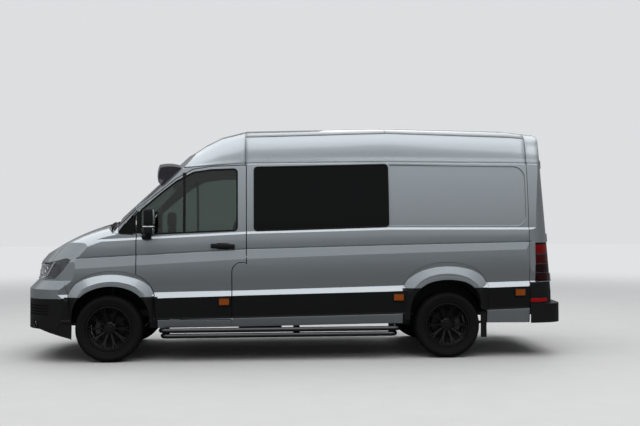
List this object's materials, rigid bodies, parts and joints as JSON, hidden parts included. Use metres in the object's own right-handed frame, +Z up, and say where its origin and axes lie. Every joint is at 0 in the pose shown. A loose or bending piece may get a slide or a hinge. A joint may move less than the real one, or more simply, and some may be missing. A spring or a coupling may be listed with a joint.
{
  "type": "camper van",
  "caption": "High-roof panel van camper with hinged cab doors, twin rear doors, opening bonnet, steered front wheels and side step tubes.",
  "frame": {"origin": "on the ground, under the middle of the overall length and width", "axes": "+X forward, +Y to the van's left, +Z up"},
  "size_m": [5.986, 2.416, 2.59],
  "materials": {
    "body_paint": "silver metallic paint, gloss",
    "glass": "dark tinted glass",
    "lamp_lens": "clear and coloured lamp lenses",
    "trim_plastic": "grained black plastic",
    "steel": "coated and polished steel",
    "wheel_alloy": "black painted alloy",
    "tyre": "black rubber",
    "seat_cloth": "dark woven cloth",
    "engine": "cast metal, stands for the whole engine"
  },
  "bodies": {
    "body": {"cab_frame": "body_paint", "cab_seats": "seat_cloth", "cowl": "trim_plastic", "dashboard": "trim_plastic", "engine_block": "engine", "fenders": "body_paint", "floor": "steel", "front_bumper": "body_paint", "front_bumper_lower": "trim_plastic", "front_suspension": "steel", "front_wheel_liners": "trim_plastic", "fuel_tank": "trim_plastic", "grille": "trim_plastic", "headlamps": "lamp_lens", "leaf_springs": "steel", "marker_lamps": "lamp_lens", "mud_flaps": "trim_plastic", "rear_axle": "steel", "rear_bumper": "trim_plastic", "rear_frame": "body_paint", "rear_wheel_boxes": "trim_plastic", "roof": "body_paint", "side_panel_left": "body_paint", "side_panel_right": "body_paint", "side_tubes": "steel", "side_windows": "glass", "sliding_door": "body_paint", "steering_wheel": "trim_plastic", "sun_visor": "trim_plastic", "tail_lamps": "lamp_lens", "windscreen": "glass"},
    "door_left": {"front_door_left": "body_paint", "door_window_left": "glass", "mirror_left": "trim_plastic"},
    "door_right": {"front_door_right": "body_paint", "door_window_right": "glass", "mirror_right": "trim_plastic"},
    "rear_left": {"rear_door_left": "body_paint", "rear_window_left": "glass"},
    "rear_right": {"rear_door_right": "body_paint", "rear_window_right": "glass"},
    "bonnet": {"bonnet": "body_paint"},
    "steer_left": {"knuckle_left": "steel"},
    "steer_right": {"knuckle_right": "steel"},
    "spin_front_left": {"wheel_front_left": "wheel_alloy", "tyre_front_left": "tyre"},
    "spin_front_right": {"wheel_front_right": "wheel_alloy", "tyre_front_right": "tyre"},
    "spin_rear_left": {"wheel_rear_left": "wheel_alloy", "tyre_rear_left": "tyre"},
    "spin_rear_right": {"wheel_rear_right": "wheel_alloy", "tyre_rear_right": "tyre"}
  },
  "joints": [
    {"name": "front_door_left_hinge", "type": "hinge", "parent": "body", "child": "door_left", "pos_m": [1.704, 0.996, 1], "axis": [0, 0.0349, -0.9994], "range_deg": [0, 70]},
    {"name": "front_door_right_hinge", "type": "hinge", "parent": "body", "child": "door_right", "pos_m": [1.704, -0.996, 1], "axis": [0, 0.0349, 0.9994], "range_deg": [0, 70]},
    {"name": "rear_door_left_hinge", "type": "hinge", "parent": "body", "child": "rear_left", "pos_m": [-2.848, 0.796, 0.7], "axis": [-0.0802, 0, -0.9968], "range_deg": [0, 170]},
    {"name": "rear_door_right_hinge", "type": "hinge", "parent": "body", "child": "rear_right", "pos_m": [-2.848, -0.796, 0.7], "axis": [0.0802, 0, 0.9968], "range_deg": [0, 170]},
    {"name": "bonnet_hinge", "type": "hinge", "parent": "body", "child": "bonnet", "pos_m": [2.094, 0, 1.478], "axis": [0, -1, 0], "range_deg": [0, 60]},
    {"name": "steer_left", "type": "hinge", "parent": "body", "child": "steer_left", "pos_m": [1.997, 0.7, 0.355], "axis": [0, 0, 1], "range_deg": [-35, 35]},
    {"name": "steer_right", "type": "hinge", "parent": "body", "child": "steer_right", "pos_m": [1.997, -0.7, 0.355], "axis": [0, 0, 1], "range_deg": [-35, 35]},
    {"name": "wheel_front_left_spin", "type": "hinge", "parent": "steer_left", "child": "spin_front_left", "pos_m": [1.997, 0.861, 0.355], "axis": [0, 1, 0], "continuous": true},
    {"name": "wheel_front_right_spin", "type": "hinge", "parent": "steer_right", "child": "spin_front_right", "pos_m": [1.997, -0.861, 0.355], "axis": [0, 1, 0], "continuous": true},
    {"name": "wheel_rear_left_spin", "type": "hinge", "parent": "body", "child": "spin_rear_left", "pos_m": [-1.643, 0.861, 0.355], "axis": [0, 1, 0], "continuous": true},
    {"name": "wheel_rear_right_spin", "type": "hinge", "parent": "body", "child": "spin_rear_right", "pos_m": [-1.643, -0.861, 0.355], "axis": [0, 1, 0], "continuous": true}
  ],
  "couplings": [
    {"joint": "steer_right", "follows": "steer_left", "ratio": 1}
  ]
}
